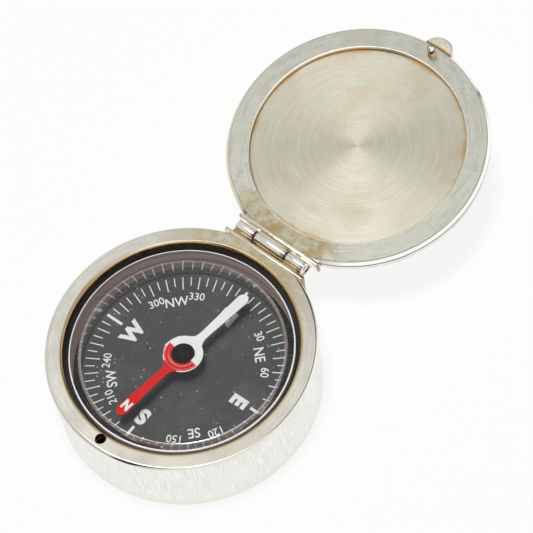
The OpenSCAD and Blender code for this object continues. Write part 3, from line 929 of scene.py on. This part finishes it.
EDGE_TONES = (WHITE, WHITE)
INNER_FILLET_R = 0.45 * MM
ACRYLIC_IOR = 1.49
ACRYLIC_ON_LIQUID_IOR = 1.04
BOSS_ON_LIQUID_IOR = 1.02
TOP_GLOSS = 0.25

window = lathe("window_cup", [
    (0, WINDOW_UNDER_Z),
    (BOSS_IN_R, WINDOW_UNDER_Z),
    *arc(BOSS_IN_R + BOSS_ROUND, BOSS_Z + BOSS_ROUND, BOSS_ROUND, 180, 270, 5),
    *arc(BOSS_OUT_R - BOSS_ROUND, BOSS_Z + BOSS_ROUND, BOSS_ROUND, 270, 360, 5),
    (BOSS_OUT_R, WINDOW_UNDER_Z),
    *arc(CAPSULE_IN_R - INNER_FILLET_R, WINDOW_UNDER_Z - INNER_FILLET_R, INNER_FILLET_R, 90, 0, 6),
    (CAPSULE_IN_R, FOOT_Z),
    (FLANGE_R, FOOT_Z),
    (FLANGE_R, SLEEVE_Z),
    (CAPSULE_R, SLEEVE_Z),
    *arc(CAPSULE_R - WINDOW_EDGE_R, WINDOW_Z - WINDOW_EDGE_R, WINDOW_EDGE_R, 0, 90),
    (0, WINDOW_Z),
])


def clear_material(name, ior, rough_to, tint, haze_share=0.0, gleam_share=0.0, tones=HAZE_TONES):
    """A clear refracting finish, part hazy or part mirroring, that lets lamplight through."""
    finish, tree, shader, place = new_material(name, {
        "Base Color": linear(tint), "Transmission Weight": 1.0, "IOR": ior, "Specular IOR Level": TOP_GLOSS,
    })
    marks = clouds(tree, place, 3 * MM)
    tree.links.new(ramp(tree, marks, 0.4, 0.8, 0.0, rough_to), shader.inputs["Roughness"])
    radius, angle, height = polar(tree, place)
    turning = streaks(tree, height, angle, 0.3 * MM, 4.0)
    streaked = shaded(tree, *tones, turning, 0.35, 0.6)
    facing = add_node(tree, "ShaderNodeNewGeometry")
    scattered = add_node(
        tree, "ShaderNodeVectorMath", {"operation": "ADD", 1: HAZE_LIFT}, {0: facing.outputs["Normal"]}
    )
    haze_normal = add_node(
        tree, "ShaderNodeVectorMath", {"operation": "NORMALIZE"}, {0: scattered.outputs[0]}
    )
    haze = add_node(
        tree, "ShaderNodeBsdfDiffuse", links={"Color": streaked, "Normal": haze_normal.outputs[0]}
    )
    hazy = add_node(
        tree, "ShaderNodeMixShader", {0: haze_share}, {1: shader.outputs[0], 2: haze.outputs[0]}
    )
    gleam = add_node(tree, "ShaderNodeBsdfGlossy", {"Color": linear(tint), "Roughness": rough_to})
    gleaming = add_node(
        tree, "ShaderNodeMixShader", {0: gleam_share}, {1: hazy.outputs[0], 2: gleam.outputs[0]}
    )
    clear = add_node(tree, "ShaderNodeBsdfTransparent", {"Color": linear(tint)})
    lighting = seen_by(tree, "Is Shadow Ray", "Is Diffuse Ray")
    pass_light = add_node(
        tree, "ShaderNodeMixShader", links={0: lighting, 1: gleaming.outputs[0], 2: clear.outputs[0]}
    )
    tree.links.new(pass_light.outputs[0], tree.nodes["Material Output"].inputs["Surface"])
    return finish


window_finishes = {
    "top": clear_material("polished_acrylic", ACRYLIC_IOR, 0.02, "#fbfcfc"),
    "under": clear_material("acrylic_under_liquid", ACRYLIC_ON_LIQUID_IOR, 0.01, WHITE),
    "boss": clear_material("moulded_acrylic_boss", BOSS_ON_LIQUID_IOR, 0.01, WHITE),
    "inside": clear_material(
        "acrylic_inner_wall", ACRYLIC_ON_LIQUID_IOR, 0.02, WHITE, INNER_HAZE, WALL_GLEAM
    ),
    "wall": clear_material("turned_acrylic_wall", ACRYLIC_IOR, 0.03, "#f6f4f2", HAZE_SHARE),
    "edge": clear_material("frosted_acrylic_edge", ACRYLIC_IOR, 0.3, WHITE, EDGE_HAZE, 0, EDGE_TONES),
    "rim": clear_material("frosted_boss_rim", BOSS_ON_LIQUID_IOR, 0.3, WHITE, INNER_HAZE, 0, EDGE_TONES),
}
window_faces = list(window_finishes)
for finish in window_finishes.values():
    window.data.materials.append(finish)
for face in window.data.polygons:
    face_r, face_z = face.center.xy.length, face.center.z
    kind = "top"
    off_boss = abs(face_r - (BOSS_IN_R + BOSS_OUT_R) / 2)
    if off_boss < BOSS_OUT_R - BOSS_IN_R and BOSS_FLAT_HALF_W < off_boss and face_z < BOSS_Z + BOSS_ROUND:
        kind = "rim"
    elif face_z < WINDOW_UNDER_Z + HOLD and face_r < BOSS_OUT_R + HOLD:
        kind = "boss"
    elif face_z < WINDOW_UNDER_Z - HOLD / 4 and face_r < CAPSULE_IN_R + HOLD:
        kind = "inside"
    elif face_z < WINDOW_UNDER_Z + HOLD and face_r < CAPSULE_IN_R + HOLD:
        kind = "under"
    elif face_z < WINDOW_Z - WINDOW_EDGE_R:
        kind = "wall"
    elif face_r > CAPSULE_R - WINDOW_EDGE_R:
        kind = "edge"
    face.material_index = window_faces.index(kind)
dress(window, window_finishes["top"], "case", ["capsule_window"])


# Catch socket. A drawn silver tube with a split brass ring, let in under the bezel's hole. Both
# are painted nearly black, as painted shade deep in the hole, so the hole reads nearly black.
# Painted shade: the socket's silver is painted nearly black for the shade inside the hole.
socket_painted_dark = mottled_finish(
    "socket_silver_painted_dark", 0.4 * MM, ("#1f1a14", "#3b3327"), {"Metallic": 1.0, "Roughness": 0.45},
    edges=NOISE_SPAN,
)
plain_node("catch_socket", socket_painted_dark)
# Painted shade: the spring's brass is painted dark for the shade inside the hole.
spring_brass_painted_dark = mottled_finish(
    "spring_brass_painted_shade", 0.3 * MM, ("#32260f", "#5d4a26"), {"Metallic": 1.0, "Roughness": 0.5}
)
plain_node("catch_spring", spring_brass_painted_dark)


# Hinge. Two silver leaves with drawn barrels, soldered to flats on the case and the lid, turn on
# a steel pin. They are polished, with brown tarnish left where a cloth can't reach; the leaf ends
# and the parts just below the hinge line are painted darker brown as painted shade.
HINGE_Y = 19.75 * MM
HINGE_Z = 11.15 * MM
LID_OPEN = math.radians(173)
HINGE_EDGE = 0.09 * MM
FLAT_ANGLE = math.radians(0.5)
WORN_ANGLE = math.radians(40)
KNUCKLE_JOINT_X = 2.8 * MM
LEAF_END_X = 7 * MM


def worn_copy(node, name, edge):
    """A copy of a CAD node with its corners worn round."""
    source = frame["nodes"][node]
    piece = bpy.data.objects.new(name, source.data.copy())
    piece.data.name = name
    piece.data.materials.clear()
    bpy.context.scene.collection.objects.link(piece)
    alone(piece)
    bpy.ops.mesh.customdata_custom_splitnormals_clear()
    bpy.ops.object.mode_set(mode="EDIT")
    bpy.ops.mesh.select_all(action="SELECT")
    bpy.ops.mesh.remove_doubles(threshold=MERGE_GAP)
    bpy.ops.mesh.dissolve_limited(angle_limit=FLAT_ANGLE)
    bpy.ops.object.mode_set(mode="OBJECT")
    return rounded(piece, edge, 3, WORN_ANGLE)


hinge_silver, tree, shader, place = new_material("polished_hinge_silver", {"Metallic": 1.0})
rub = clouds(tree, place, 1.1 * MM, detail=3.0)
parts = add_node(tree, "ShaderNodeSeparateXYZ", links={0: place})
grain = streaks(tree, parts.outputs["Y"], parts.outputs["X"], 0.16 * MM, 5 * MM)
along = off_by(tree, parts.outputs["X"], 0)
off_line = off_by(tree, parts.outputs["Y"], HINGE_Y)
joint_gap = off_by(tree, along, KNUCKLE_JOINT_X)
across_line = add_node(
    tree, "ShaderNodeVectorMath", {"operation": "MULTIPLY", 1: (0, 1, 1)}, {0: place}
)
reach = add_node(
    tree, "ShaderNodeVectorMath", {"operation": "DISTANCE", 1: (0, HINGE_Y, HINGE_Z)},
    {0: across_line.outputs[0]},
)
near_line = (reach.outputs["Value"], 1.75 * MM, 1.2 * MM)
joint_stain = overlap(tree, (joint_gap, 0.3 * MM, 0.12 * MM), (off_line, 0.85 * MM, 0.75 * MM))
valley_stain = overlap(tree, (off_line, 0.72 * MM, 0.86 * MM), near_line)
# Painted shade: darker brown below the hinge line, close to it.
low_painted_shade = overlap(tree, (parts.outputs["Z"], 10.9 * MM, 9.9 * MM), near_line)
bright_tone = shaded(tree, "#f4efe3", "#fdfaf2", rub, 0.3, 0.6)
grain_tone = shaded(tree, "#d9d6cc", bright_tone, grain, 0.28, 0.46)
joint_tone = blend_colour(tree, joint_stain, grain_tone, "#a27b48")
valley_tone = blend_colour(tree, valley_stain, joint_tone, "#c8a774")
under_shaded_tone = blend_colour(tree, low_painted_shade, valley_tone, "#8d7346")
# Painted shade: the ends of the leaves are painted dark.
end_painted_shade = ramp(tree, along, LEAF_END_X - 0.22 * MM, LEAF_END_X - 0.1 * MM, 0.0, 0.8)
hinge_tone = blend_colour(tree, end_painted_shade, under_shaded_tone, "#8a6f45")
coloured(tree, shader, hinge_tone, ramp(tree, rub, *NOISE_SPAN, 0.04, 0.09))
relief(tree, shader, rub, 0.02 * MM)
case_leaf = worn_copy("case_hinge_leaf", "case_leaf", HINGE_EDGE)
dress(case_leaf, hinge_silver, "case", ["case_hinge_leaf"])
lid_leaf = worn_copy("lid_hinge_leaf", "lid_leaf", HINGE_EDGE)
dress(lid_leaf, hinge_silver, "lid", ["lid_hinge_leaf"])
plain_node("hinge_pin", drawn_steel)


# Lid. A turned silver shell with a polished bevel, lined by a satin ring and a thin spun plate
# that lies in the recess. It is made shut and then swung open round the hinge line.
LID_Z = 11.55 * MM
LID_PLATE_Z = 12.25 * MM
LID_FLOOR_Z = 12.55 * MM
LID_TOP_Z = 13.75 * MM
LID_LIP_IN_R = 18.62 * MM
LID_BEVEL = 0.38 * MM
BEVEL_DROP = 0.1 * MM
LID_EDGE_R = 0.7 * MM
LID_RING_OUT_R = 18.60 * MM
LID_RING_IN_R = 15.62 * MM
RING_EDGE_R = 0.16 * MM
PLATE_R = 15.60 * MM
PIN_BORE_R = 0.34 * MM
PIN_ROOT_H = 0.8 * MM
LID_RIM_END = (19.01 * MM, 19.02 * MM)
RING_STAIN_FROM = (-0.5 * MM, 18.0 * MM, LID_Z)

to_hinge = Matrix.Translation((0, HINGE_Y, HINGE_Z))
swing = to_hinge @ Matrix.Rotation(-LID_OPEN, 4, "X") @ to_hinge.inverted()
hinge_point = Vector((0, HINGE_Y, HINGE_Z))
shut_shift = hinge_point - Matrix.Rotation(LID_OPEN, 3, "X") @ hinge_point


def lid_space(tree, place):
    """A place on the open lid as it is when the lid is shut, with the lid's middle on the z axis."""
    shut = add_node(
        tree, "ShaderNodeMapping",
        {"vector_type": "POINT", "Rotation": (LID_OPEN, 0, 0), "Location": shut_shift},
        {"Vector": place},
    )
    return shut.outputs[0]


lid_cover = lathe("lid_cover", [
    (0, LID_FLOOR_Z),
    (LID_LIP_IN_R, LID_FLOOR_Z),
    (LID_LIP_IN_R, LID_Z + BEVEL_DROP),
    (CASE_R, LID_Z + BEVEL_DROP + LID_BEVEL),
    *arc(CASE_R - LID_EDGE_R, LID_TOP_Z - LID_EDGE_R, LID_EDGE_R, 0, 90, 12),
    (0, LID_TOP_Z),
])
shape_with(lid_cover, leaf_seat(LID_Z - OVERRUN, LID_TOP_Z + OVERRUN))
lid_cover.data.transform(swing)

lid_silver, tree, shader, place = new_material("polished_sterling_lid", {"Metallic": 1.0})
place = lid_space(tree, place)
radius, angle, height = polar(tree, place)
swipes = streaks(tree, radius, angle, 0.3 * MM, 0.5)
breath = clouds(tree, place, 6 * MM)
lid_clean = shaded(tree, "#e5e3d9", "#eeece4", breath, *NOISE_CORE)
lid_tone = shaded(tree, "#dbd9cc", lid_clean, swipes, 0.3, 0.55)
root_stain = overlap(tree, (radius, 19.4 * MM, 19.02 * MM), (radius, *LID_RIM_END))
# Painted dark reflection: a dark line on the corner just above the bevel, along the polished edge.
corner_painted_dark_line = overlap(
    tree, (height, 12.02 * MM, 12.06 * MM), (height, 12.42 * MM, 12.25 * MM),
    (radius, *reversed(LID_RIM_END)),
)
to_the_right = add_node(tree, "ShaderNodeSeparateXYZ", links={0: place}).outputs["X"]
# Painted highlight: the bevel goes from cream-gold on the left to near white on the right.
bevel_painted_highlight = shaded(tree, "#ddd6be", "#fdfcf9", to_the_right, -5 * MM, 9 * MM)
bevel_highlighted_tone = shaded(tree, lid_tone, bevel_painted_highlight, height, 12.06 * MM, 12.03 * MM)
# Painted light: the tab is painted lighter than the rest of the lid, mottled between two pale tones.
tab_wear = ramp(tree, clouds(tree, place, 1.2 * MM), *NOISE_CORE)
tab_painted_light_mottle = blend_colour(tree, tab_wear, "#ece5d0", "#fbf7ea")
tab_tone = shaded(tree, bevel_highlighted_tone, tab_painted_light_mottle, radius, *LID_RIM_END)
rooted_tone = blend_colour(tree, root_stain, tab_tone, "#c9ae78")
lined_tone = blend_colour(tree, corner_painted_dark_line, rooted_tone, "#5c554e")
coloured(tree, shader, lined_tone, ramp(tree, radius, *LID_RIM_END, 0.09, 0.3))
relief(tree, shader, clouds(tree, place, 4 * MM, detail=1.0), 0.006 * MM)
dress(lid_cover, lid_silver, "lid", ["lid_shell"])

lid_rim = lathe("lid_rim", [
    (LID_RING_IN_R, LID_FLOOR_Z),
    *arc(LID_RING_IN_R + RING_EDGE_R, LID_Z + RING_EDGE_R, RING_EDGE_R, 180, 270, 5),
    (LID_RING_OUT_R, LID_Z),
    (LID_RING_OUT_R, LID_FLOOR_Z),
])
shape_with(lid_rim, leaf_seat(LID_Z - OVERRUN, LID_TOP_Z + OVERRUN))
pin_bore = rod("pin_bore", PIN_BORE_R, LID_Z - OVERRUN, LID_Z + PIN_ROOT_H, CATCH_X, CATCH_Y)
shape_with(lid_rim, pin_bore)
lid_rim.data.transform(swing)

satin_rim, tree, shader, place = new_material("satin_sterling_rim", {"Metallic": 1.0})
place = lid_space(tree, place)
radius, angle, height = polar(tree, place)
scratches = streaks(tree, radius, angle, 0.18 * MM, 0.3)
breath = clouds(tree, place, 3.5 * MM)
blotches = clouds(tree, place, 1.8 * MM, detail=4.0)
gilt_share = hinge_stain(
    tree, place, blotches, RING_STAIN_FROM, 2.5 * MM, (10.2 * MM, 7.6 * MM), (*NOISE_CORE, 0.25, 1.0)
)
wall_stain = ramp(tree, height, 11.75 * MM, 12.2 * MM)
rim_clean = shaded(tree, "#cfcfc3", "#d9d9cf", breath, *NOISE_CORE)
mottle = clouds(tree, place, 1.3 * MM, detail=3.0)
rim_mottled = shaded(tree, rim_clean, "#c5c9be", mottle, 0.5, 0.7)
joint_line = ramp(tree, radius, 18.46 * MM, 18.54 * MM)
rim_edged = blend_colour(tree, joint_line, rim_mottled, "#aaaa9b")
rim_scratched = shaded(tree, "#bfbfb2", rim_edged, scratches, 0.3, 0.5)
rim_gilt = blend_colour(tree, gilt_share, rim_scratched, "#b09c6e")
# Painted highlight: the ring's inner lip is painted lighter, as the bright line along its edge.
rim_lip_highlight_tone = shaded(tree, rim_gilt, "#f6f3e8", radius, 15.82 * MM, 15.76 * MM)
rim_tone = blend_colour(tree, wall_stain, rim_lip_highlight_tone, "#bd9a60")
rim_rough = overlap(tree, (breath, *NOISE_SPAN, 0.38, 0.46), (radius, 15.8 * MM, 15.9 * MM, 0.4, 1.0))
coloured(tree, shader, rim_tone, rim_rough)
relief(tree, shader, clouds(tree, place, 4 * MM, detail=1.0), 0.006 * MM)
dress(lid_rim, satin_rim, "lid", ["lid_ring"])

lid_plate = lathe("lid_plate", [
    (0, LID_FLOOR_Z), (PLATE_R, LID_FLOOR_Z), (PLATE_R, LID_PLATE_Z), (0, LID_PLATE_Z),
])
lid_plate.data.transform(swing)

spun_plate, tree, shader, place = new_material(
    "spun_silver_plate", {"Metallic": 1.0, "Anisotropic": 0.68}
)
place = lid_space(tree, place)
radius, angle, height = polar(tree, place)
rings = streaks(tree, radius, angle, 0.12 * MM, 0.6, detail=2.0)
wide_rings = streaks(tree, radius, angle, 0.7 * MM, 2.5, detail=3.0)
breath = clouds(tree, place, 7 * MM, detail=3.0)
patches = clouds(tree, place, 4.5 * MM, detail=3.0)
grain = clouds(tree, place, 0.22 * MM, detail=2.0)
ring_tone = shaded(tree, "#d4cfbd", "#e5e1d2", rings, *NOISE_SPAN)
band_tone = shaded(tree, "#d8d2c0", ring_tone, wide_rings, 0.25, 0.6)
grain_tone = shaded(tree, band_tone, "#cfc8b4", grain, 0.5, 0.8)
warm_tone = shaded(tree, grain_tone, "#dac9b0", breath, 0.5, 0.75)
mottled_tone = shaded(tree, warm_tone, "#d3d3bf", patches, 0.52, 0.75)
edge_shift = ramp(tree, breath, *NOISE_SPAN, -0.5 * MM, 0.3 * MM)
uneven_edge = add_node(
    tree, "ShaderNodeMath", {"operation": "ADD"}, {0: radius, 1: edge_shift}
).outputs[0]
edge_tone = shaded(tree, mottled_tone, "#d2b78c", uneven_edge, 15.0 * MM, 15.6 * MM)
coloured(tree, shader, edge_tone, ramp(tree, breath, *NOISE_SPAN, 0.34, 0.42))
outward = add_node(tree, "ShaderNodeVectorMath", {"operation": "MULTIPLY", 1: (1, 1, 0)}, {0: place})
outward_open = add_node(
    tree, "ShaderNodeMapping", {"vector_type": "VECTOR", "Rotation": (-LID_OPEN, 0, 0)},
    {"Vector": outward.outputs[0]},
)
outward_world = add_node(
    tree, "ShaderNodeVectorTransform",
    {"vector_type": "VECTOR", "convert_from": "OBJECT", "convert_to": "WORLD"},
    {"Vector": outward_open.outputs[0]},
)
across_rings = add_node(
    tree, "ShaderNodeVectorMath", {"operation": "NORMALIZE"}, {0: outward_world.outputs[0]}
)
tree.links.new(across_rings.outputs[0], shader.inputs["Tangent"])
relief(tree, shader, rings, 0.0007 * MM)
dress(lid_plate, spun_plate, "lid", ["lid_inner_plate"])


# Thumb tab. A half round of silver with softened edges, fixed to the lid's edge opposite the
# hinge for the thumb to lift. It shares the lid's material, painted lighter than the lid as
# painted light, with tarnish along its root.
TAB_R = 2.4 * MM
TAB_Y = -18.4 * MM
TAB_Z = 11.93 * MM
TAB_T = 1.3 * MM
TAB_EDGE_R = 0.3 * MM
TAB_GAP = 0.02 * MM

tab = lathe("tab", [
    (0, TAB_Z),
    *arc(TAB_R - TAB_EDGE_R, TAB_Z + TAB_EDGE_R, TAB_EDGE_R, -90, 0),
    *arc(TAB_R - TAB_EDGE_R, TAB_Z + TAB_T - TAB_EDGE_R, TAB_EDGE_R, 0, 90),
    (0, TAB_Z + TAB_T),
], steps=MIDDLE_STEPS)
tab.data.transform(Matrix.Translation((CATCH_X, TAB_Y, 0)))
shape_with(tab, rod("lid_edge", CASE_R + TAB_GAP, LID_Z - OVERRUN, LID_TOP_Z + OVERRUN, steps=ROUND_STEPS))
tab.data.transform(swing)
dress(tab, lid_silver, "lid", ["thumb_tab"])


# Catch pin and collar. A round-headed silver pin reaches into the split ring in the case; the
# solder collar at its root has gone brown.
BALL_R = 0.55 * MM
SHANK_R = 0.32 * MM
BALL_Z = 9.8 * MM
PIN_TOP_Z = LID_Z + PIN_ROOT_H
COLLAR_R = 0.68 * MM
COLLAR_TOP_R = 0.39 * MM
COLLAR_H = 0.8 * MM
COLLAR_ROUND = 0.12 * MM

neck_angle = math.degrees(math.acos(SHANK_R / BALL_R))
pin = lathe("catch_head", [
    (0, PIN_TOP_Z), (SHANK_R, PIN_TOP_Z), *arc(0, BALL_Z, BALL_R, neck_angle, -86, 20), (0, BALL_Z - BALL_R),
], steps=SMALL_STEPS)
pin.data.transform(swing @ Matrix.Translation((CATCH_X, CATCH_Y, 0)))
pin_silver, tree, shader, place = new_material(
    "polished_pin_silver", {"Metallic": 1.0, "Roughness": 0.05}
)
knocks = clouds(tree, place, 0.3 * MM)
knocked_tone = shaded(tree, "#e6e5e2", "#fbfaf8", knocks, *NOISE_CORE)
# Painted dark reflection: the ball is painted dark towards its outline, where it faces away.
ball_edge_painted_dark = add_node(tree, "ShaderNodeLayerWeight", {"Blend": 0.5}).outputs["Facing"]
pin_tone = shaded(tree, knocked_tone, "#37322d", ball_edge_painted_dark, 0.3, 0.5)
coloured(tree, shader, pin_tone)
relief(tree, shader, knocks, 0.012 * MM)
dress(pin, pin_silver, "lid", ["catch_pin"])

collar = lathe("catch_solder", [
    (SHANK_R + TAB_GAP, LID_Z - COLLAR_H), (COLLAR_TOP_R, LID_Z - COLLAR_H),
    *arc(COLLAR_R - COLLAR_ROUND, LID_Z - COLLAR_ROUND, COLLAR_ROUND, 0, 80, 4), (SHANK_R + TAB_GAP, LID_Z),
], steps=SMALL_STEPS)
collar.data.transform(swing @ Matrix.Translation((CATCH_X, CATCH_Y, 0)))
solder = mottled_finish(
    "browned_solder", 0.35 * MM, ("#c98f4c", "#ffe9c4"), {"Metallic": 1.0, "Roughness": 0.2},
    depth=0.02 * MM,
)
dress(collar, solder, "lid", ["catch_collar"])
